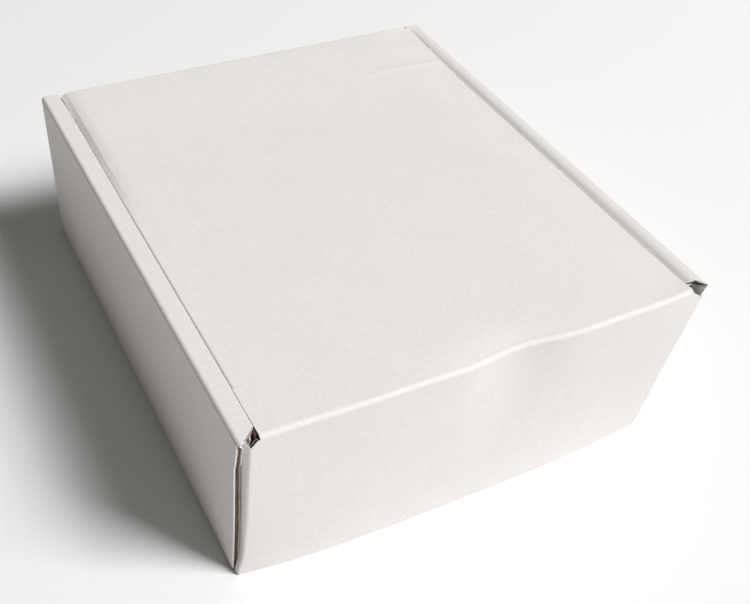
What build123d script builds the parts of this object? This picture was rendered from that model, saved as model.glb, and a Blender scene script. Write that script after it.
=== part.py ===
from build123d import *
import os

# A roll-end mailer box, folded from one die-cut sheet of corrugated board with no glue or tape.
# Frame: origin on the ground under the middle of the box, +Z up, X along the lid's hinge.
# The hinged back wall stands at -Y and the front wall, where the lid tucks in, at +Y.
# The flutes of the board run along X.

# ---------------------------------------------------------------- driving dimensions, mm
board = 3.0  # thickness of the corrugated board, with both liners
width = 248.0  # X, over the outer side panels
depth = 273.0  # Y, over the back and front walls
height = 102.0  # Z, from the ground to the top of the side walls

layer_gap = 0.5  # room beside a layer of board that slides between two others
lid_gap = 1.0  # room between the lid's side edge and the side wall
crease = 3.5  # outside radius of a tight right-angle crease
hinge_crease = 5.0  # outside radius of the lid's softer hinge crease

# ---------------------------------------------------------------- where the board's mid-plane runs
mid = board / 2
crease_mid = crease - mid
hinge_mid = hinge_crease - mid
channel = board + 2 * layer_gap  # room for an ear between the outer and the inner side panel
strip = channel + 2 * board  # width of the rolled-over top of a side wall

side_x = width / 2 - mid  # outer side panel
ear_x = width / 2 - board - layer_gap - mid  # ears of the back and front walls
inner_x = width / 2 - strip + mid  # inner side panel
wall_y = depth / 2 - mid  # back and front walls
top_z = height - mid  # lid and rolled-over strips
base_z = mid
floor_z = board + layer_gap  # lowest edge of what stands on the base

side_end = depth / 2 - board  # raw ends of the side walls, level with the end walls' inner faces
hinge_z = height - hinge_crease  # top of the back wall, where the hinge crease starts
front_z = height - 4.0  # raw top edge of the front wall

# ---------------------------------------------------------------- roll-over side wall, +X half
near_setback = 9.0  # how far the strip's inner edge is cut back beside the hinge
far_setback = 3.0  # the same beside the tuck fold
setback_drop = 16.0  # height over which the inner panel's cut corner runs out
inner_end = side_end - layer_gap - 1.0  # raw ends of the inner side panel
foot_cut = 4.0  # bevel on the lower corners of the outer side panel

tab_length = 38.0  # locking tabs of the inner side panel
tab_spacing = 122.0  # between the middles of the two tabs
tab_corner = 1.2  # lead-in bevel at the tip of a tab
slot_clearance = 0.35  # round a tab in its slot through the base

with BuildPart() as side_wall:
    # Half of the base, the outer panel, the strip and the inner panel are one bent section.
    with BuildSketch(Plane.XZ):
        with BuildLine():
            FilletPolyline(
                (0, base_z),
                (side_x, base_z),
                (side_x, top_z),
                (inner_x, top_z),
                (inner_x, floor_z),
                radius=crease_mid,
            )
        trace(line_width=board)
    extrude(amount=side_end, both=True)

    # The strip's ends are cut diagonally, from its outer crease back to its inner edge.
    strip_out = side_x - crease_mid
    strip_in = inner_x - mid
    with BuildSketch(Plane.XY.offset(height)):
        with BuildLine():
            Polyline(
                (strip_out, -side_end),
                (strip_in, -side_end + near_setback),
                (strip_in, -side_end),
                close=True,
            )
        make_face()
        with BuildLine():
            Polyline(
                (strip_out, side_end),
                (strip_in, side_end - far_setback),
                (strip_in, side_end),
                close=True,
            )
        make_face()
    extrude(amount=-crease, mode=Mode.SUBTRACT)

    # The inner panel is shorter than the outer one, and its upper corners continue those cuts.
    with BuildSketch(Plane.YZ.offset(strip_in)):
        for end, setback in ((-1, near_setback), (1, far_setback)):
            with BuildLine():
                Polyline(
                    (end * side_end, height),
                    (end * (side_end - setback), height),
                    (end * (side_end - setback), height - crease),
                    (end * inner_end, height - crease - setback_drop),
                    (end * inner_end, floor_z),
                    (end * side_end, floor_z),
                    close=True,
                )
            make_face()
    extrude(amount=board, mode=Mode.SUBTRACT)

    # The lower corners of the outer panel are bevelled to clear the folds of the end walls.
    with BuildSketch(Plane.YZ.offset(width / 2)):
        for end in (-1, 1):
            with BuildLine():
                Polyline(
                    (end * side_end, 0),
                    (end * (side_end - foot_cut), 0),
                    (end * side_end, foot_cut),
                    close=True,
                )
            make_face()
    extrude(amount=-crease, mode=Mode.SUBTRACT)

    # Two slots through the base take the locking tabs of the inner panel.
    slot_width = board + 2 * slot_clearance
    slot_length = tab_length + 2 * slot_clearance
    with BuildSketch(Plane.XY):
        with Locations((inner_x, -tab_spacing / 2), (inner_x, tab_spacing / 2)):
            Rectangle(slot_width, slot_length)
    extrude(amount=board, mode=Mode.SUBTRACT)
    with BuildSketch(Plane.YZ.offset(strip_in)):
        with Locations((-tab_spacing / 2, floor_z / 2), (tab_spacing / 2, floor_z / 2)):
            Rectangle(tab_length, floor_z)
        chamfer(vertices().group_by(Axis.Y)[0], length=tab_corner)
    extrude(amount=board)

# ---------------------------------------------------------------- back and front walls, +X half
fold_half = width / 2 - board - layer_gap - crease  # end walls fold up over this half width
wall_foot = 0.6  # lowest point of the corner crease between a wall and its ear
ear_length = 96.0  # ears, from the wall's mid-plane
ear_cut = 14.0  # bevel on the ear's free corners
corner_cut = 4.0  # 45 degree cut at the back wall's upper corners, below the hinge


def waste(plane, points, amount):
    """Cuts away one outlined piece of board, through the given distance."""
    with BuildSketch(plane) as offcut:
        with BuildLine():
            Polyline(*points, close=True)
        make_face()
    extrude(offcut.sketch, amount=amount, mode=Mode.SUBTRACT)


with BuildPart() as end_walls:
    for end, wall_top in ((-1, hinge_z), (1, front_z)):
        ear_end = end * (wall_y - ear_length)
        # Wall, corner crease and ear are one bent section, seen from above.
        with BuildSketch(Plane.XY.offset(wall_foot)):
            with BuildLine():
                FilletPolyline(
                    (0, end * wall_y),
                    (ear_x, end * wall_y),
                    (ear_x, ear_end),
                    radius=crease_mid,
                )
            trace(line_width=board)
        extrude(amount=wall_top - wall_foot)

        # The ear hangs clear of the base, and its free corners are bevelled to slide in.
        ear_face = Plane.YZ.offset(fold_half)
        ear_reach = crease + board
        ear_root = end * (side_end + layer_gap / 2)
        waste(
            ear_face,
            ((ear_root, 0), (ear_root, floor_z), (ear_end, floor_z), (ear_end, 0)),
            ear_reach,
        )
        waste(
            ear_face,
            ((ear_end, floor_z), (ear_end + end * ear_cut, floor_z), (ear_end, floor_z + ear_cut)),
            ear_reach,
        )
        waste(
            ear_face,
            ((ear_end, wall_top), (ear_end + end * ear_cut, wall_top), (ear_end, wall_top - ear_cut)),
            ear_reach,
        )

    # The back wall's upper corners slope down at 45 degrees from the hinge to the corner creases.
    waste(
        Plane.XZ.offset(wall_y - crease_mid),
        (
            (fold_half, hinge_z),
            (fold_half + corner_cut, hinge_z),
            (fold_half + corner_cut, hinge_z - corner_cut),
        ),
        crease,
    )

    # The walls rise from the base on long creases.
    with BuildSketch(Plane.YZ):
        with BuildLine():
            FilletPolyline(
                (-wall_y, hinge_z),
                (-wall_y, base_z),
                (wall_y, base_z),
                (wall_y, front_z),
                radius=crease_mid,
            )
        trace(line_width=board)
    extrude(amount=fold_half)

# ---------------------------------------------------------------- tray: everything below the hinge
with BuildPart() as tray:
    add(side_wall.part)
    add(end_walls.part)
    mirror(about=Plane.YZ)

tray.part.label = "tray"

# ---------------------------------------------------------------- lid, +X half
lid_half = width / 2 - strip - lid_gap  # the lid's side edge
tuck_y = side_end - layer_gap - crease  # centre of the tuck crease
tuck_lean = 6.0  # degrees that the tuck flap leans inwards, so that it swings out past the wall
tuck_depth = 52.0  # tuck flap, from the top of the lid
tuck_half = lid_half - 3.0  # its half width beside the crease; the lid's corners are clipped to it
tuck_taper = 7.0  # how much narrower each side is at the free edge
tuck_corner = 14.0  # radius of its free corners

flap_depth = 42.0  # side flaps, from the top of the lid
flap_near = -104.0  # where a side flap starts, on the hinge side
flap_far = 112.0  # where it ends, on the tuck side
flap_taper = 15.0  # how much shorter each end is at the free edge
flap_corner = 10.0  # radius of its free corners

with BuildPart() as tuck_flap:
    # Crease and flap are one bent section, trimmed to the flap's outline seen from the front.
    with BuildSketch(Plane.YZ):
        with BuildLine():
            tuck_arc = JernArc((tuck_y, top_z), (1, 0), crease_mid, -90 - tuck_lean)
            Line(tuck_arc @ 1, tuck_arc @ 1 + (tuck_arc % 1) * (tuck_depth - crease))
        trace(line_width=board)
    extrude(amount=tuck_half)
    with BuildSketch(Plane.XZ):
        with BuildLine():
            Polyline(
                (0, height),
                (tuck_half, height),
                (tuck_half, height - crease),
                (tuck_half - tuck_taper, height - tuck_depth),
                (0, height - tuck_depth),
                close=True,
            )
        make_face()
        fillet(vertices().group_by(Axis.Y)[0].sort_by(Axis.X)[-1], radius=tuck_corner)
    extrude(amount=-depth, mode=Mode.INTERSECT)

with BuildPart() as side_flap:
    with BuildSketch(Plane.XZ.offset(-flap_near)):
        with BuildLine():
            FilletPolyline(
                (lid_half - 2 * crease, top_z),
                (lid_half - mid, top_z),
                (lid_half - mid, height - flap_depth),
                radius=crease_mid,
            )
        trace(line_width=board)
    extrude(amount=flap_near - flap_far)
    with BuildSketch(Plane.YZ):
        with BuildLine():
            Polyline(
                (flap_near, height),
                (flap_far, height),
                (flap_far, height - crease),
                (flap_far - flap_taper, height - flap_depth),
                (flap_near + flap_taper, height - flap_depth),
                (flap_near, height - crease),
                close=True,
            )
        make_face()
        fillet(vertices().group_by(Axis.Y)[0], radius=flap_corner)
    extrude(amount=width, mode=Mode.INTERSECT)

with BuildPart() as lid:
    # Hinge crease: a quarter ring from the back wall's top edge up to the lid.
    with BuildSketch(Plane.YZ):
        with BuildLine():
            JernArc((-wall_y, hinge_z), (0, 1), hinge_mid, -90)
        trace(line_width=board)
    extrude(amount=fold_half)
    waste(
        Plane.XZ.offset(side_end - hinge_crease),
        (
            (fold_half, hinge_z),
            (fold_half, height),
            (lid_half, height),
            (lid_half, hinge_z + fold_half - lid_half),
        ),
        depth,
    )

    # Top panel, clipped at its far corners and trimmed back where the side flap folds down.
    with BuildSketch(Plane.XY.offset(height)):
        with BuildLine():
            Polyline(
                (0, hinge_crease - depth / 2),
                (lid_half, hinge_crease - depth / 2),
                (lid_half, flap_near),
                (lid_half - crease, flap_near),
                (lid_half - crease, flap_far),
                (lid_half, flap_far),
                (lid_half, tuck_y + tuck_half - lid_half),
                (tuck_half, tuck_y),
                (0, tuck_y),
                close=True,
            )
        make_face()
    extrude(amount=-board)

    add(side_flap.part)
    add(tuck_flap.part)
    mirror(about=Plane.YZ)

lid.part.label = "lid"

os.makedirs("parts", exist_ok=True)
export_step(tray.part, "parts/tray.step")
export_step(lid.part, "parts/lid.step")
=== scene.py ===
# %% [markdown]
# # A corrugated mailer box
# The real box is one sheet of white-lined corrugated board: die-cut flat, creased, and folded up with
# no glue. This script makes it the same way. Each part of the blank is laid out flat, cut to its
# outline, built up from two paper liners and a wave of brown fluting, and then bent along its creases.
# The imported model is the frame: it gives the box's size.

# %% Load the imported model
import math

import bmesh
import bpy
from mathutils import Matrix, Vector


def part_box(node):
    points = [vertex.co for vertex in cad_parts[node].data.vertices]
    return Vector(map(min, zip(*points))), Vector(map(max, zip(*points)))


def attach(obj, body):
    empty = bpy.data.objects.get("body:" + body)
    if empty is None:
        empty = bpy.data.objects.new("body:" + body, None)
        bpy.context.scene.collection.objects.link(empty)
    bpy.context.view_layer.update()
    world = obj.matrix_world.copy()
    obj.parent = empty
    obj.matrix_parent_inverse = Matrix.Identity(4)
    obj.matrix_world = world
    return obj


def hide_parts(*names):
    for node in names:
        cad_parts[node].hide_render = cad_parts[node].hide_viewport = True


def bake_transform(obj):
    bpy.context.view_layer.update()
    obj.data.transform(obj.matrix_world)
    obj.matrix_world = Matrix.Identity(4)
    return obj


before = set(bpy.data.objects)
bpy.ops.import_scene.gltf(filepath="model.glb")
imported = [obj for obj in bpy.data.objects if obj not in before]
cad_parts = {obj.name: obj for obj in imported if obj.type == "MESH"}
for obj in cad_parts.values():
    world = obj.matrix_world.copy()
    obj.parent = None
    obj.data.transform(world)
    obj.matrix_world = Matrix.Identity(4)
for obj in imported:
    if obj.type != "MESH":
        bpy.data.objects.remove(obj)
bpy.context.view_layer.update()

# %% [markdown]
# ## Sizes
# Lengths are in metres, as everywhere in Blender. The overall size comes from the frame, and the few
# sizes of the board and its creases are the ones that the box was designed with. A creasing rule
# crushes the board along a line, and the crushed board then bends round a small arc. The length that
# the arc uses up is measured half-way through its crushed thickness.

# %% Sizes of the box and its board
mm = 0.001
tray_low, tray_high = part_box("tray")
lid_low, lid_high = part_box("lid")
width = tray_high[0] - tray_low[0]
depth = tray_high[1] - tray_low[1]
height = tray_high[2] - tray_low[2]

board = 3.0 * mm
mid = board / 2
layer_gap = 0.5 * mm
crease_out = 1.0 * mm  # bend radius of the outer paper at a tight crease
crease_left = 0.9 * mm  # thickness of the crushed board there
# the same two where the left wall (-1) and the right wall (1) turn over, and where they turn down inside
strip_bends = {-1: (2.1 * mm, 1.3 * mm), 1: (1.0 * mm, 0.9 * mm)}
roll_bends = {-1: (0.5 * mm, 0.45 * mm), 1: (0.9 * mm, 0.8 * mm)}
hinge_out = 2.2 * mm  # and at the lid's softer hinge crease
hinge_left = 1.5 * mm
quarter = math.pi / 2

side_x = width / 2 - mid
inner_x = side_x - board - 2 * layer_gap - board
ear_x = side_x - board - layer_gap
wall_y = depth / 2 - mid
floor_z = board + layer_gap
side_end = depth / 2 - board
panel_end = depth / 2 - 0.4 * mm  # where the side walls end at the front
fold_z = height - hinge_out
front_z = height - 4.0 * mm
lid_half = inner_x - mid - 0.2 * mm
fold_half = ear_x + mid - crease_out
packed_lid = lid_high[0] - lid_low[0]
print(f"box {width / mm:.0f} x {depth / mm:.0f} x {height / mm:.0f} mm")
print(f"lid {2 * lid_half / mm:.1f} mm wide, and {packed_lid / mm:.1f} mm in the packed model")

# %% [markdown]
# ## Tools for the blank
# A grid of faces is the easiest thing to bend, so each part of the blank starts as a flat grid. Cutting
# the grid along a plane adds a line of vertices exactly where a crease or an edge has to be. Bending is
# a small formula: what lies past a crease is wrapped round the crease's arc, and the rest turns with it.

# %% Cutting and bending a flat sheet
crush_ramp = 2.4 * mm  # how far beside a crease the board is squeezed
on_the_cut = 0.02 * mm  # points nearer to a cut than this are taken to lie on it


def score(sheet, axis, places):
    """Adds a line of vertices across the whole sheet at each place along the axis, 0 for X and 1 for Y."""
    for place in places:
        point = Vector((0, 0, 0))
        point[axis] = place
        normal = Vector((0, 0, 0))
        normal[axis] = 1
        everything = sheet.verts[:] + sheet.edges[:] + sheet.faces[:]
        bmesh.ops.bisect_plane(sheet, geom=everything, dist=on_the_cut, plane_co=point, plane_no=normal)


def blank(low, high, cells):
    """A flat rectangle between two corners, divided into cells."""
    sheet = bmesh.new()
    bmesh.ops.create_grid(sheet, x_segments=cells[0], y_segments=cells[1], size=0.5)
    bmesh.ops.scale(sheet, vec=(high[0] - low[0], high[1] - low[1], 1), verts=sheet.verts)
    middle = ((low[0] + high[0]) / 2, (low[1] + high[1]) / 2, 0)
    bmesh.ops.translate(sheet, vec=middle, verts=sheet.verts)
    return sheet


def discard(sheet, unwanted):
    """Takes away the faces whose middle is where unwanted(x, y) says."""
    faces = [f for f in sheet.faces if unwanted(*f.calc_center_median().xy)]
    bmesh.ops.delete(sheet, geom=faces, context="FACES")


def cut(sheet, start, end, keep, where):
    """Cuts along a line, among the faces that where(x, y) picks, and keeps the side that a point is on."""
    faces = [f for f in sheet.faces if where(*f.calc_center_median().xy)]
    edges = list(dict.fromkeys(e for f in faces for e in f.edges))
    verts = list(dict.fromkeys(v for f in faces for v in f.verts))
    start, end, keep = Vector(start), Vector(end), Vector(keep)
    outward = (end - start).orthogonal().normalized()
    if (keep - start).dot(outward) > 0:
        outward.negate()
    bmesh.ops.bisect_plane(
        sheet,
        geom=faces + edges + verts,
        dist=on_the_cut,
        plane_co=start.to_3d(),
        plane_no=outward.to_3d(),
        clear_outer=True,
    )


def round_off(sheet, corner, before, after, radius, steps=6):
    """Rounds a corner of the outline with a few short cuts, each touching the same circle."""
    corner, before, after = Vector(corner), Vector(before), Vector(after)
    arm_a, arm_b = (before - corner).normalized(), (after - corner).normalized()
    half = arm_a.angle(arm_b) / 2
    centre = corner + (arm_a + arm_b).normalized() * radius / math.sin(half)
    near = 3 * radius / math.tan(half)
    normal_a = (arm_a * arm_a.dot(arm_b) - arm_b).normalized()
    normal_b = (arm_b * arm_a.dot(arm_b) - arm_a).normalized()
    for step in range(1, steps):
        outward = normal_a.lerp(normal_b, step / steps).normalized()
        touch = centre + outward * radius
        cut(
            sheet,
            touch,
            touch + outward.orthogonal(),
            centre,
            lambda x, y: (Vector((x, y)) - corner).length < near,
        )


def arc_length(outer, left, turn=quarter):
    """How much board a crease uses up, from its outer radius and its crushed thickness."""
    return (outer - left / 2) * turn


def crease_lines(crease, arc, fluted):
    """Where a crease needs lines of vertices: round its arc, and where the board gets its thickness back."""
    steps, ramp = (3, (1.2 * mm, crush_ramp)) if fluted else (6, (0.4 * mm, 0.9 * mm, 1.5 * mm, crush_ramp))
    beside = [crease - reach for reach in ramp] + [crease + arc + reach for reach in ramp]
    return [crease + arc * step / steps for step in range(steps + 1)] + beside


def crush(sheet, axis, towards, crease, arc, left, where=None):
    """Squeezes the board along a crease to a thickness, and keeps its outer face flat."""
    for v in sheet.verts:
        start = crease(v.co) if callable(crease) else crease
        place = towards * v.co[axis]
        away = max(start - place, place - start - arc, 0) / crush_ramp
        if away < 1 and not (where and not where(v.co)):
            remains = left / board + (1 - left / board) * away * away * (3 - 2 * away)
            v.co.z = (v.co.z + mid) * remains - mid


def fold(sheet, axis, towards, crease, outer, arc, turn, where):
    """Bends what lies past a crease upwards, round an arc. A crease that slants is given as a function."""
    centre = outer - mid
    for v in sheet.verts:
        start = crease(v.co) if callable(crease) else crease
        past = towards * v.co[axis] - start
        if past <= 0 or (where and not where(v.co)):
            continue
        bent = min(past / arc, 1) * turn
        flat = max(past - arc, 0)
        reach = centre - v.co.z
        v.co[axis] = towards * (start + reach * math.sin(bent) + flat * math.cos(bent))
        v.co.z = centre - reach * math.cos(bent) + flat * math.sin(bent)


def crush_creases(sheet, creases):
    """Crushes the board along every crease of a flat sheet."""
    for axis, towards, crease, outer, left, turn, where in creases:
        crush(sheet, axis, towards, crease, arc_length(outer, left, turn), left, where)


def fold_up(sheet, creases):
    """Folds a sheet along one crease after another."""
    for axis, towards, crease, outer, left, turn, where in creases:
        fold(sheet, axis, towards, crease, outer, arc_length(outer, left, turn), turn, where)


# %% [markdown]
# ## The board
# B-flute board is two paper liners about 0.3 mm thick, glued to a wavy sheet of brown paper between
# them. From the face nobody sees the wave, but every cut edge shows it: as a zigzag where the cut
# crosses the flutes, and as a plain brown groove where it runs along them. Modelling the three plies
# lets each cut edge look right by itself, with no picture of an edge. All flutes here run along X.

# %% Building the three plies of the board
liner = 0.3 * mm
dragged_liner = 0.7 * mm  # how far the outer liner reaches into the board at a cut edge
flute_paper = 0.22 * mm
flute_pitch = 6.4 * mm
flute_steps = 5
flute_swing = mid - liner - flute_paper / 2


def flat_position_as_uv(sheet):
    """Keeps each point's place in the flat blank as a UV map named blank, which the paper materials do not
    read.
    """
    layer = sheet.loops.layers.uv.new("blank")
    for face in sheet.faces:
        for loop in face.loops:
            loop[layer].uv = loop.vert.co.xy


def thicken(sheet, thickness, rim=0.0):
    """Gives an open sheet a thickness upwards, as a closed slab. Its cut rim can be thicker."""
    cut_rim = sheet.verts.layers.int.new("rim")
    for v in sheet.verts:
        v[cut_rim] = v.is_boundary
    everything = sheet.faces[:] + sheet.edges[:] + sheet.verts[:]
    made = bmesh.ops.extrude_face_region(sheet, geom=everything, use_keep_orig=True)
    raised = [v for v in made["geom"] if isinstance(v, bmesh.types.BMVert)]
    for v in raised:
        v.co.z += max(thickness, rim * v[cut_rim])
    bmesh.ops.recalc_face_normals(sheet, faces=sheet.faces)
    return cut_rim


def plies(die_cut):
    """The outside liner, the fluting and the inside liner, cut by the same die and still flat.

    The die presses in from the outside, and drags the outer liner a little way down over the cut edge.
    """
    outside = die_cut(False)
    bmesh.ops.translate(outside, vec=(0, 0, -mid), verts=outside.verts)
    thicken(outside, liner, dragged_liner)
    inside = die_cut(False)
    bmesh.ops.translate(inside, vec=(0, 0, mid - liner), verts=inside.verts)
    thicken(inside, liner)
    fluting = die_cut(True)
    for v in fluting.verts:
        v.co.z = flute_swing * math.sin(math.tau * v.co.y / flute_pitch) - flute_paper / 2
    cut_rim = thicken(fluting, flute_paper)
    for v in fluting.verts:
        if v[cut_rim]:
            v.co.z = max(v.co.z, dragged_liner - mid)
    for face in fluting.faces:
        face.material_index = 1
    return outside, fluting, inside


def grid_for(low, high, fluted, cell, flute_cell):
    """How many cells a part's grid has: square ones for a liner, and long thin ones for the fluting."""
    across, along = (flute_cell, flute_pitch / flute_steps) if fluted else (cell, cell)
    return math.ceil((high[0] - low[0]) / across), math.ceil((high[1] - low[1]) / along)


# %% [markdown]
# ## How the box has settled
# A folded box is never quite square. Its springy folds push the walls about by a few millimetres: the
# hinged wall bellies out along its foot, its top fold wanders, and the lid's edges sink or spring up.
# One smooth field moves every piece by the same rule, so layers that lie side by side stay clear.

# %% The settling field
corner_shift = {
    # left/right, hinge/tuck, bottom/top: how far that corner has moved
    (0, 0, 0): Vector((1.8, 1.8, 0)) * mm,
    (0, 0, 1): Vector((0, -0.8, -0.2)) * mm,
    (0, 1, 0): Vector((0.7, 1.3, 0)) * mm,
    (0, 1, 1): Vector((-2.1, -1.8, -1.0)) * mm,
    (1, 0, 0): Vector((-3.8, -1.7, 0)) * mm,
    (1, 0, 1): Vector((3.3, -0.2, 1.1)) * mm,
    (1, 1, 0): Vector((0, 0, 0)),
    (1, 1, 1): Vector((0.1, 0.5, 0.2)) * mm,
}
foot_bow = 5.5 * mm  # how far the hinged wall bellies out along its foot
foot_reach = 70 * mm  # how far that carries into the base
fold_press = 1.7 * mm  # how far the lid's fold has been pressed down in the middle
end_spread = {-1: 2.5 * mm, 1: 3.2 * mm}  # how far the hinged wall's left and right ends spread
edge_droop = 2.3 * mm  # how far the lid's left edge droops along its side flap
edge_draw = 0.5 * mm  # how far it draws back from the strip there
tuck_spring = 2.2 * mm  # how far the tuck flap springs the lid's far edge up
strip_roll = 2.5 * mm  # how far the inner half of the right strip rolls down
lid_sag = 1.0 * mm  # how far the lid sags beside that strip
crowding = 0.8 * mm  # how far the lid pushes that strip sideways
wrinkle_y = 91 * mm  # where a wrinkle crosses the right of the lid, at the end of its side flap
wrinkle_rise = 0.2 * mm
wrinkle_half = 2.4 * mm
corner_bevel = 1.7 * mm  # how wide the hinged wall's corner creases open at the top


def bump(x, middle, half):
    """A smooth hump, 1 at its middle and 0 beyond its half width."""
    t = (x - middle) / half
    return (1 - t * t) ** 2 if abs(t) < 1 else 0.0


def fade(t):
    """Goes smoothly from 0 to 1 as t does."""
    t = min(max(t, 0.0), 1.0)
    return t * t * (3 - 2 * t)


def fold_wander(x):
    """How far back the lid's fold has rolled, at each place along it."""
    x = x / mm
    right_half = fade((x - 24) / 30) * (1 - fade((x - 95) / 38))
    return (1.5 * fade((-x - 55) / 50) + 2.6 * bump(x, 12, 27) - 1.9 * right_half) * mm


def settle_hinged_wall(co, z, past_wall, moved):
    """Bellies out the wall's foot between its corners, moves its top fold, and spreads its ends."""
    along = abs(co.x + 20 * mm) / (144 * mm if co.x > -20 * mm else 104 * mm)
    bow = foot_bow * max(0.0, 1 - along**3)
    near = max(0.0, 1 - past_wall / foot_reach) if co.z < height / 2 or past_wall < board else 0.0
    moved.y -= bow * near**2 * max(0.0, 1 - z) ** 1.5
    # the wandering fold takes the top of the wall and the start of the lid with it
    moved.y += fold_wander(co.x) * fade((z - 0.3) / 0.7) * fade(1 - past_wall / (50 * mm))
    # in the middle the lid slopes down to the pressed fold
    slope = fade(1 - (past_wall - mm) / (13 * mm)) * fade((z - 0.5) * 2)
    moved.z -= fold_press * bump(co.x, 4 * mm, 50 * mm) * slope
    # the ends cover the cut edges of the side walls: low on the left, and all along the right
    ahead = fade((4.4 * mm - past_wall) / (1.4 * mm))
    right_end = fade((co.x - 60 * mm) / (60 * mm)) * fade((height - 2 * mm - co.z) / (6 * mm))
    left_end = fade((-co.x - 60 * mm) / (60 * mm)) * fade(1 - co.z / (18 * mm))
    in_wall_or_ear = past_wall < board + 0.05 * mm or abs(co.x) > ear_x - mid - 0.1 * mm
    if in_wall_or_ear and abs(co.x) < ear_x + mid + 0.2 * mm:
        moved.x += ahead * (end_spread[1] * right_end - end_spread[-1] * left_end)


def settle_lid(co, y, z, moved):
    """Droops the lid's left edge, springs up its far edge, less so on the left, and wrinkles its right."""
    from_left = co.x + lid_half
    if -0.1 * mm < from_left < lid_half and z > 0.5:
        droop = max(0.0, 1 - from_left / (4.2 * mm)) ** 1.3 * bump(co.y, 76 * mm, 72 * mm)
        moved.z -= edge_droop * droop
        moved.x += edge_draw * droop
    if abs(co.x) < lid_half + 0.1 * mm and co.y < side_end - layer_gap / 2:
        proud = fade((y - 0.7) / 0.3) * fade((z - 0.5) * 2.5)
        moved.z += tuck_spring * proud * (1 - 0.5 * fade(1 - from_left / (5 * mm)))
        moved.x -= 0.25 * mm * proud * fade(1 - from_left / (40 * mm))
    if z > 0.96:
        moved.z += wrinkle_rise * bump(co.y, wrinkle_y, wrinkle_half) * fade((co.x - 40 * mm) / (45 * mm))


def settle_right_strip(co, y, z, moved):
    """Rolls the strip's inner half down, with the lid beside it, and lets the lid crowd it at the front."""
    if co.x > lid_half - 30 * mm and z > 0.5:
        if co.x > lid_half + 0.1 * mm:
            drop = strip_roll * fade((119 * mm - co.x) / (6 * mm))
        else:
            drop = lid_sag * fade(1 - (lid_half - co.x) / (30 * mm))
        moved.z -= drop * z**2 * fade((1 - abs(2 * y - 1)) * 12)
    if co.x > 88 * mm:
        crowded = fade((co.x - 88 * mm) / (24 * mm)) if co.x < 112 * mm else (width / 2 - co.x) / (12 * mm)
        moved.x += crowding * crowded * fade(y * 1.6) * fade((z - 0.5) * 2.5)


def settled(co):
    """Where a point of the square box lies on this one."""
    x, y, z = co.x / width + 0.5, co.y / depth + 0.5, co.z / height
    moved = Vector(co)
    for (right, tuck, top), shift in corner_shift.items():
        share = (x if right else 1 - x) * (y if tuck else 1 - y) * (z if top else 1 - z)
        moved += shift * share
    settle_hinged_wall(co, z, co.y + depth / 2, moved)
    settle_lid(co, y, z, moved)
    settle_right_strip(co, y, z, moved)
    return moved


# %% [markdown]
# ## From plies to a piece
# The three plies of a part bend and settle together, and are then joined in one mesh. Its cut edges
# stay crisp and its folds smooth, because only corners sharper than 50 degrees are marked sharp.

# %% Joining plies into one piece
sharp_corner = math.radians(50)


def piece(name, sheets, body, materials):
    """One finished object from bent plies, riding on a body."""
    whole = bmesh.new()
    ply_mesh = bpy.data.meshes.new(name + "_ply")
    for sheet in sheets:
        for v in sheet.verts:
            v.co = settled(v.co)
        for face in sheet.faces:
            face.smooth = True
        sheet.to_mesh(ply_mesh)
        whole.from_mesh(ply_mesh)
        sheet.free()
    bpy.data.meshes.remove(ply_mesh)
    mesh = bpy.data.meshes.new(name)
    whole.to_mesh(mesh)
    whole.free()
    mesh.set_sharp_from_angle(angle=sharp_corner)
    for material in materials:
        mesh.materials.append(material)
    made = bpy.data.objects.new(name, mesh)
    bpy.context.scene.collection.objects.link(made)
    if body:
        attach(made, body)
    print(f"{name}: {sum(len(face.vertices) - 2 for face in mesh.polygons)} triangles")
    return made


# %% [markdown]
# ## The paper
# The liner is bleached paper with a thin clay coat: nearly white, a little warm, and matt with a soft
# sheen where the light grazes it. Up close it is mottled, from clumps of fibre that took the coat
# unevenly. The fluting is plain brown recycled paper. Both patterns are noise in the object's own
# space, at the scale of the real fibres.

# %% Paper materials


def paper(name, dark, light, roughness, mottle_depth):
    """Mottled paper whose colour wanders between two tones."""
    material = bpy.data.materials.new(name)
    material.use_nodes = True
    nodes, links = material.node_tree.nodes, material.node_tree.links
    shader = nodes["Principled BSDF"]
    shader.inputs["Roughness"].default_value = roughness
    shader.inputs["Specular IOR Level"].default_value = 0.2
    place = nodes.new("ShaderNodeTexCoord")
    clumps = nodes.new("ShaderNodeTexNoise")
    clumps.inputs["Scale"].default_value = 420
    clumps.inputs["Detail"].default_value = 4
    clouds = nodes.new("ShaderNodeTexNoise")
    clouds.inputs["Scale"].default_value = 45
    clouds.inputs["Detail"].default_value = 3
    blend = nodes.new("ShaderNodeMix")
    blend.data_type = "FLOAT"
    blend.inputs["Factor"].default_value = 0.25
    ramp = nodes.new("ShaderNodeValToRGB")
    ramp.color_ramp.elements[0].position = 0.36
    ramp.color_ramp.elements[0].color = (*dark, 1)
    ramp.color_ramp.elements[1].position = 0.64
    ramp.color_ramp.elements[1].color = (*light, 1)
    fibre = nodes.new("ShaderNodeTexNoise")
    fibre.inputs["Scale"].default_value = 1500
    fibre.inputs["Detail"].default_value = 3
    bumps = nodes.new("ShaderNodeBump")
    bumps.inputs["Strength"].default_value = mottle_depth
    bumps.inputs["Distance"].default_value = 0.05 * mm
    for noise_node in (clumps, clouds, fibre):
        links.new(place.outputs["Object"], noise_node.inputs["Vector"])
    links.new(clumps.outputs["Fac"], blend.inputs["A"])
    links.new(clouds.outputs["Fac"], blend.inputs["B"])
    links.new(blend.outputs["Result"], ramp.inputs["Fac"])
    links.new(ramp.outputs["Color"], shader.inputs["Base Color"])
    links.new(fibre.outputs["Fac"], bumps.inputs["Height"])
    links.new(bumps.outputs["Normal"], shader.inputs["Normal"])
    return material


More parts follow.
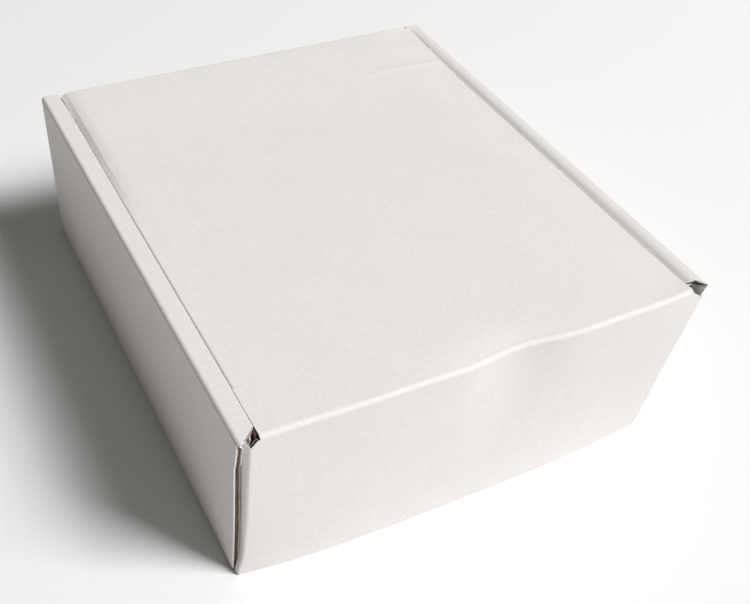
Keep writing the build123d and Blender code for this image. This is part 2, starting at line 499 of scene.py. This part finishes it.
white_liner = paper("white_liner", (0.755, 0.73, 0.715), (0.795, 0.775, 0.765), 0.6, 0.15)
brown_fluting = paper("brown_fluting", (0.22, 0.14, 0.09), (0.40, 0.29, 0.19), 0.85, 0.6)
board_materials = (white_liner, brown_fluting)

# %% [markdown]
# ## The base and the roll-over side walls
# On each side the blank runs on from the base into the outer panel, the narrow strip that makes the
# wall's flat top, and the inner panel, whose tabs lock in slots through the base. All of it is one
# sheet, so it is cut flat first, and then folded from its far ends inwards, as the box-maker does.

# %% Base and side walls
tight_arc = arc_length(crease_out, crease_left)
base_crease = side_x + mid - crease_out
wall_foot = base_crease + tight_arc
strip_crease, strip_start, inner_crease, strip_end, panel_foot = {}, {}, {}, {}, {}
for side in (-1, 1):
    outer, roll_out = strip_bends[side][0], roll_bends[side][0]
    strip_crease[side] = wall_foot + height - crease_out - outer
    strip_start[side] = strip_crease[side] + arc_length(*strip_bends[side])
    inner_crease[side] = strip_start[side] + side_x - inner_x + board - outer - roll_out
    strip_end[side] = inner_crease[side] + arc_length(*roll_bends[side])
    panel_foot[side] = strip_end[side] + height - roll_out - floor_z

top_reach = 2.6 * mm  # how far the top of a side wall juts over the hinged wall's corner
top_drop = 22.0 * mm  # how far down the jut tapers away
near_setback = 3.6 * mm  # how far the top of the inner panel stands back from the hinged wall
half_setback = 2.5 * mm  # and the strip's end, where it turns on its way there
half_way = {-1: 1.2 * mm, 1: 4.8 * mm}  # how far before the inner crease each strip's end turns
setback_drop = 3.0 * mm  # how far down the inner panel is set back
inner_end = side_end - 0.4 * mm  # where the rest of the inner panel ends
far_drop = 14.0 * mm  # how far down its end slopes at the front
foot_length = 6.0 * mm  # the outer panel's lower corners are clipped this far along
foot_rise = 1.2 * mm  # and this far up
tab_length = 38.0 * mm
tab_middle = 61.0 * mm  # from the middle of the box to the middle of a locking tab
slot_room = 0.35 * mm  # clearance round a tab in its slot
end_crease = wall_y + mid - crease_out


def in_a_tab(y, room=0.0):
    """Whether a place along a side wall's foot is in a locking tab, give or take some room."""
    return abs(abs(y) - tab_middle) < tab_length / 2 + room


def base_and_sides_die(fluted):
    """The base and both side walls, flat and cut to their outline, on the fluting's grid or a liner's."""
    low = (-panel_foot[-1] - floor_z, -side_end - top_reach)
    high = (panel_foot[1] + floor_z, panel_end)
    sheet = blank(low, high, grid_for(low, high, fluted, 8 * mm, 24 * mm))
    for side in (-1, 1):
        lines = [panel_foot[side], inner_x - mid - slot_room, inner_x + mid + slot_room]
        lines += [fold_half + layer_gap, *crease_lines(base_crease, tight_arc, fluted)]
        lines += crease_lines(strip_crease[side], strip_start[side] - strip_crease[side], fluted)
        lines += crease_lines(inner_crease[side], strip_end[side] - inner_crease[side], fluted)
        score(sheet, 0, [side * line for line in lines])
        tab_ends = [tab_middle - tab_length / 2, tab_middle + tab_length / 2]
        slot_ends = [tab_ends[0] - slot_room, tab_ends[1] + slot_room]
        score(sheet, 1, [side * line for line in [*tab_ends, *slot_ends, end_crease]])
    beside_ends = [side_end - reach for reach in (0, 0.5 * mm, 1.2 * mm, 2.4 * mm)]
    score(sheet, 1, [end * place for end in (-1, 1) for place in beside_ends])
    discard(sheet, lambda x, y: abs(x) > panel_foot[1 if x > 0 else -1] and not in_a_tab(y))
    discard(sheet, lambda x, y: abs(abs(x) - inner_x) < mid + slot_room and in_a_tab(y, slot_room))
    discard(sheet, lambda x, y: abs(x) < fold_half + layer_gap and abs(y) > end_crease)
    discard(sheet, lambda x, y: abs(x) < base_crease and abs(y) > side_end)
    for side in (-1, 1):
        near = [(wall_foot, foot_length - side_end), (wall_foot + foot_rise, -side_end)]
        near += [(strip_crease[side] - top_drop, -side_end), (strip_start[side], -side_end - top_reach)]
        near += [(inner_crease[side] - half_way[side], half_setback - side_end)]
        near += [(end, near_setback - side_end) for end in (inner_crease[side], strip_end[side])]
        near += [(strip_end[side] + setback_drop, -inner_end), (panel_foot[side] + floor_z, -inner_end)]
        far = [(wall_foot, side_end - foot_length), (wall_foot + foot_rise, panel_end)]
        far += [(strip_end[side], panel_end), (strip_end[side] + far_drop, inner_end)]
        far += [(panel_foot[side] + floor_z, inner_end)]
        for corners in (near, far):
            for (x0, y0), (x1, y1) in zip(corners, corners[1:]):
                score(sheet, 0, [side * x1])
                score(sheet, 1, [y1])
                beyond = lambda x, y: x0 < side * x < x1 and y * y1 > 0
                cut(sheet, (side * x0, y0), (side * x1, y1), (side * x0, 0), beyond)
        discard(sheet, lambda x, y: base_crease < side * x < wall_foot and abs(y) > side_end - foot_length)
    flat_position_as_uv(sheet)
    return sheet


side_sheets = plies(base_and_sides_die)
side_creases = []
for side in (-1, 1):
    side_creases.append((0, side, inner_crease[side], *roll_bends[side], quarter, None))
    side_creases.append((0, side, strip_crease[side], *strip_bends[side], quarter, None))
    side_creases.append((0, side, base_crease, crease_out, crease_left, quarter, None))
for sheet in side_sheets:
    crush_creases(sheet, side_creases)
    fold_up(sheet, side_creases)
    bmesh.ops.translate(sheet, vec=(0, 0, mid), verts=sheet.verts)
base_and_sides = piece("base_and_side_walls", side_sheets, "tray", board_materials)
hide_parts("tray")

# %% [markdown]
# ## The front wall
# The wall that the lid tucks behind stands on a crease along the base. Its two ears turn back into the
# channels of the side walls and hold the box square. Its top is a plain cut edge.

# %% Front wall and its ears
ear_reach = 94.0 * mm  # straight part of an ear
ear_cut = 14.0 * mm
ear_tip = fold_half + tight_arc + ear_reach
corner_foot = 0.5 * mm  # the corner crease reaches down this near to the ground


def wall_die(fluted, ear_top, sheet_end, across=(), along=(), waste_beyond=None):
    """A wall and its ears, flat, from the base's crease on. What is beyond ear_top has its own outline."""
    low, high = (-ear_tip, end_crease), (ear_tip, sheet_end)
    sheet = blank(low, high, grid_for(low, high, fluted, 6.5 * mm, 8 * mm))
    score(sheet, 1, [*crease_lines(end_crease, tight_arc, fluted)[1:], *along, ear_top])
    corner_lines = crease_lines(fold_half, tight_arc, fluted)
    for side in (-1, 1):
        score(sheet, 0, [side * line for line in [*corner_lines, *across]])
    wall_start = end_crease + tight_arc
    discard(sheet, lambda x, y: abs(x) > fold_half and y < wall_start)
    discard(sheet, lambda x, y: y > ear_top and waste_beyond(x, y))
    for side in (-1, 1):
        for edge, inset in ((wall_start, ear_cut), (ear_top, -ear_cut)):
            tip, back = (side * ear_tip, edge + inset), (side * (ear_tip - ear_cut), edge)
            middle = (0, (wall_start + ear_top) / 2)
            at_tip = lambda x, y: side * x > ear_tip - ear_cut and wall_start < y < ear_top
            cut(sheet, tip, back, middle, at_tip)
    return sheet


def drop_corner_foot(sheet):
    """The corner creases reach almost to the ground, past the end of the base's own crease."""
    for v in sheet.verts:
        below = end_crease + tight_arc + mm - v.co.y
        beside = (abs(v.co.x) - fold_half) / tight_arc
        if below > 0 and 0 < beside < 1.2:
            v.co.y -= min(beside, 1) * (crease_out - corner_foot) * min(1, below / mm)


def up_a_wall(z):
    """Where on the flat blank a height on a wall is."""
    return end_crease + tight_arc + z - crease_out


def front_wall_die(fluted):
    """The front wall and its ears, flat, with a plain cut top."""
    sheet = wall_die(fluted, up_a_wall(front_z), up_a_wall(front_z))
    flat_position_as_uv(sheet)
    return sheet


front_sheets = plies(front_wall_die)
foot_crease = (1, 1, end_crease, crease_out, crease_left, quarter, None)
for sheet in front_sheets:
    drop_corner_foot(sheet)
    front_creases = [(0, side, fold_half, crease_out, crease_left, quarter, None) for side in (-1, 1)]
    front_creases.append(foot_crease)
    crush_creases(sheet, front_creases)
    fold_up(sheet, front_creases)
    bmesh.ops.translate(sheet, vec=(0, 0, mid), verts=sheet.verts)
front_wall = piece("front_wall", front_sheets, "tray", board_materials)
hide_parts("tray")

# %% [markdown]
# ## The back wall and the lid
# The lid is the same sheet as the back wall, beyond a soft crease, and one mesh holds both. The ears are
# parted from it, because
#  they stay put inside the side walls.

# %% Back wall, hinge crease and lid
hinge_crease = up_a_wall(fold_z)
hinge_arc = arc_length(hinge_out, hinge_left)
lid_start = hinge_crease + hinge_arc
tuck_lean = math.radians(6.0)
tuck_turn = quarter + tuck_lean
tuck_out = side_end - layer_gap  # outer face of the tuck flap's crease
tuck_crease = lid_start + tuck_out - crease_out + depth / 2 - hinge_out
tuck_start = tuck_crease + arc_length(crease_out, crease_left, tuck_turn)
tuck_end = tuck_start + 48.5 * mm
tuck_half = {1: lid_half - 0.8 * mm, -1: lid_half - 3.0 * mm}  # left and right, as the blank lies
tuck_taper = 7.0 * mm
tuck_corner = 14.0 * mm
flap_crease = lid_half - crease_out
flap_root = flap_crease + tight_arc
flap_depth = 42.0 * mm
flap_tip = flap_root + flap_depth - crease_out
flap_near = lid_start + 27.5 * mm
flap_far = lid_start + 243.5 * mm
flap_taper = 15.0 * mm
flap_corner = 10.0 * mm
flap_notch = 0.25 * mm
ear_top = up_a_wall(height - board - 0.7 * mm)
crest = (fold_half + 5.4 * mm, up_a_wall(height - 1.9 * mm))  # end of the left ear's raised corner
notch_tips = {  # the left one, at positive X on the blank, and the deeper right one
    1: (fold_half - corner_bevel - 0.2 * mm, up_a_wall(height - 5.2 * mm)),
    -1: (fold_half + 0.4 * mm, up_a_wall(height - 8.0 * mm)),
}
notch_rises = {1: (fold_half + 1.2 * mm, crest[1]), -1: (fold_half + 14 * mm, ear_top)}
corner_cut = 1.9 * mm


def lid_waste(x, y):
    """Whether a point beyond the hinge crease is waste."""
    side, x = (1 if x > 0 else -1), abs(x)
    if y < hinge_crease + corner_cut:
        return x > crest[0] or (x > lid_half and y > crest[1])
    if y > tuck_crease:
        return x > tuck_half[side]
    if flap_near < y < flap_far:
        return x > flap_tip
    in_notch = flap_near - flap_notch < y < flap_far + flap_notch
    return x > (flap_crease if in_notch else lid_half)


def bevel(co):
    """How far the left corner crease (at positive X on the blank) has opened into a bevel, at a height."""
    return corner_bevel * fade((co.y - end_crease) / height) if co.x > 0 else 0.0


def corner_first(co):
    """Where the first half of a corner crease starts, on the wall."""
    return fold_half - bevel(co)


def corner_second(co):
    """Where its second half starts, on the ear."""
    return fold_half + tight_arc / 2 + 0.05 * mm + (math.sqrt(2) - 1) * bevel(co)


def open_bevel(sheet):
    """Moves the two halves of each corner crease apart, on the flat sheet, to make room for the bevel."""
    for v in sheet.verts:
        past = abs(v.co.x) - fold_half
        if past > -5 * mm:
            first = -bevel(v.co) * fade((past + 5 * mm) / (3.5 * mm))
            shift = first if past < tight_arc / 2 + 0.02 * mm else (math.sqrt(2) - 1) * bevel(v.co)
            # beyond the hinge crease only the notch's waste is left to move
            v.co.x += math.copysign(shift * fade(1 - (v.co.y - hinge_crease) / corner_cut), v.co.x)


def back_wall_and_lid_die(fluted):
    """The back wall, its ears and the lid with its three flaps, flat and cut to their outline."""
    along = [hinge_crease + corner_cut, crest[1]]
    along += crease_lines(hinge_crease, hinge_arc, fluted)
    along += crease_lines(tuck_crease, tuck_start - tuck_crease, fluted)
    along += [flap_near - flap_notch, flap_near, flap_far, flap_far + flap_notch]
    wrinkle = lid_start + wrinkle_y + depth / 2 - hinge_out
    along += [wrinkle + step / 3 * wrinkle_half for step in range(-3, 4)]
    across = [*crease_lines(flap_crease, tight_arc, fluted), lid_half, *tuck_half.values(), flap_tip]
    across += [crest[0], fold_half + tight_arc / 2 + 0.05 * mm]
    sheet = wall_die(fluted, ear_top, tuck_end, across, along, lid_waste)
    open_bevel(sheet)
    score(sheet, 0, [side * tip[0] for side, tip in notch_tips.items()])
    score(sheet, 1, [tip[1] for tip in notch_tips.values()])
    lid_middle = (0, (lid_start + tuck_crease) / 2)
    tuck_middle = (0, (tuck_start + tuck_end) / 2)
    for side in (-1, 1):
        # a notch parts the ear from the lid, with its tip on the wall's corner crease
        tip_x, tip_y = notch_tips[side]
        tip, corner = (side * tip_x, tip_y), (side * lid_half, hinge_crease + corner_cut)
        beside_lid = lambda x, y: lid_half < side * x < tip_x and tip_y < y < lid_start
        cut(sheet, tip, corner, lid_middle, beside_lid)
        rise = (side * notch_rises[side][0], notch_rises[side][1])
        above_ear = lambda x, y: tip_x < side * x < ear_tip and tip_y < y < lid_start
        cut(sheet, tip, rise, (side * ear_tip, 0), above_ear)
        # the lid's far corners are clipped to the tuck flap's width
        inset = lid_half - tuck_half[side]
        start, stop = (side * lid_half, tuck_crease - inset), (side * tuck_half[side], tuck_crease)
        by_tuck = lambda x, y: side * x > 0 and start[1] - 9 * mm < y < tuck_crease
        cut(sheet, start, stop, lid_middle, by_tuck)
        # the tuck flap tapers to rounded corners
        start, stop = (side * tuck_half[side], tuck_start), (side * (tuck_half[side] - tuck_taper), tuck_end)
        cut(sheet, start, stop, tuck_middle, lambda x, y: side * x > 0 and y > tuck_start)
        round_off(sheet, stop, start, (0, tuck_end), tuck_corner)
        # so do the side flaps
        for start_y, inset in ((flap_near, flap_taper), (flap_far, -flap_taper)):
            start, stop = (side * flap_root, start_y), (side * flap_tip, start_y + inset)
            on_flap = lambda x, y: side * x > flap_root and flap_near < y < flap_far
            cut(sheet, start, stop, lid_middle, on_flap)
            round_off(sheet, stop, start, (side * flap_tip, lid_middle[1]), flap_corner)
    flat_position_as_uv(sheet)
    return sheet


def apart(sheet, chosen):
    """Parts a bent sheet in two: a new one with the faces whose middle chosen() picks, and the rest."""
    other = sheet.copy()
    for part, wanted in ((sheet, False), (other, True)):
        faces = [f for f in part.faces if chosen(f.calc_center_median()) != wanted]
        bmesh.ops.delete(part, geom=faces, context="FACES")
    return other


def on_a_flap(co):
    """Whether a point of the flat sheet is as far along as the lid's side flaps."""
    return flap_near - 0.01 * mm < co.y < flap_far + 0.01 * mm


def below_hinge(co):
    """Whether a point of the flat sheet is on the wall's side of the hinge crease."""
    return co.y < hinge_crease + corner_cut


def of_an_ear(co):
    """Whether a point of the bent sheet is on an ear, inside a side wall."""
    return abs(co.x) > ear_x - board and co.y > 4 * mm - side_end and co.z < height - board


def off_the_ears(co):
    """Whether a point of the half-bent sheet is on the wall or the lid."""
    return abs(co.x) < ear_x - mid - 0.05 * mm


def tight(axis, towards, crease, turn, where=None):
    """An ordinary tight crease, in the order that crushing and folding read."""
    return axis, towards, crease, crease_out, crease_left, turn, where


back_sheets = plies(back_wall_and_lid_die)
flap_creases = [tight(0, side, flap_crease, quarter, on_a_flap) for side in (-1, 1)]
bevel_creases = [tight(0, side, corner_second, quarter / 2, below_hinge) for side in (-1, 1)]
bevel_creases += [tight(0, side, corner_first, quarter / 2, below_hinge) for side in (-1, 1)]
wall_creases = [
    tight(1, 1, tuck_crease, tuck_turn),
    (1, 1, hinge_crease, hinge_out, hinge_left, quarter, off_the_ears),
    foot_crease,
]
ear_sheets = []
for sheet in back_sheets:
    drop_corner_foot(sheet)
    crush_creases(sheet, flap_creases + bevel_creases + wall_creases)
    fold_up(sheet, flap_creases + bevel_creases + wall_creases)
    bmesh.ops.rotate(sheet, cent=(0, 0, 0), matrix=Matrix.Rotation(math.pi, 3, "Z"), verts=sheet.verts)
    bmesh.ops.translate(sheet, vec=(0, 0, mid), verts=sheet.verts)
    ear_sheets.append(apart(sheet, of_an_ear))
back_wall_and_lid = piece("back_wall_and_lid", back_sheets, None, board_materials)
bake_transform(back_wall_and_lid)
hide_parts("lid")
back_ears = piece("back_ears", ear_sheets, "tray", board_materials)
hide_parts("tray")

# %% [markdown]
# ## The studio
# The box stands on a pale floor under a large soft key light from its right, which leaves its left
# side in shade. The camera looks down on the hinged end from the left, close enough for the box to
# narrow clearly towards its far side.

# %% Floor, lights and camera
floor_mesh = bpy.data.meshes.new("floor")
floor_sheet = bmesh.new()
bmesh.ops.create_grid(floor_sheet, x_segments=2, y_segments=2, size=4)
floor_sheet.to_mesh(floor_mesh)
floor_sheet.free()
floor = bpy.data.objects.new("floor", floor_mesh)
bpy.context.scene.collection.objects.link(floor)
floor_paint = bpy.data.materials.new("floor_paint")
floor_paint.use_nodes = True
floor_paint.node_tree.nodes["Principled BSDF"].inputs["Base Color"].default_value = (0.87, 0.87, 0.87, 1)
floor_paint.node_tree.nodes["Principled BSDF"].inputs["Roughness"].default_value = 0.9
floor_mesh.materials.append(floor_paint)

world = bpy.data.worlds.new("studio")
world.use_nodes = True
world.node_tree.nodes["Background"].inputs["Color"].default_value = (1, 0.98, 0.91, 1)
world.node_tree.nodes["Background"].inputs["Strength"].default_value = 0.12
bpy.context.scene.world = world
bpy.context.scene.view_settings.view_transform = "Standard"


def soft_light(name, place, target, size, watts):
    """A square soft box that faces a point."""
    data = bpy.data.lights.new(name, "AREA")
    data.size = size
    data.energy = watts
    made = bpy.data.objects.new(name, data)
    made.location = place
    made.rotation_euler = (Vector(target) - Vector(place)).to_track_quat("-Z", "Y").to_euler()
    bpy.context.scene.collection.objects.link(made)
    return made


soft_light("key", (3.75, -3.55, 6.35), (0, 0, 0.05), 3.2, 800)

camera_data = bpy.data.cameras.new("camera")
camera_data.lens = 46.34
camera_data.shift_x = 0.0845
camera_data.shift_y = 0.0398
camera = bpy.data.objects.new("camera", camera_data)
bpy.context.scene.collection.objects.link(camera)
bpy.context.scene.camera = camera
aim = Vector((-41.93, -47.54, 51.0)) * mm
around, above, roll = math.radians(-31.277), math.radians(45.372), math.radians(6.369)
away = 501.92 * mm
back = Vector((math.sin(around) * math.cos(above), -math.cos(around) * math.cos(above), math.sin(above)))
camera.location = aim + back * away
level = (-back).to_track_quat("-Z", "Y").to_matrix()
camera.rotation_euler = (level @ Matrix.Rotation(roll, 3, "Z")).to_euler()
camera_data.clip_start = 0.01
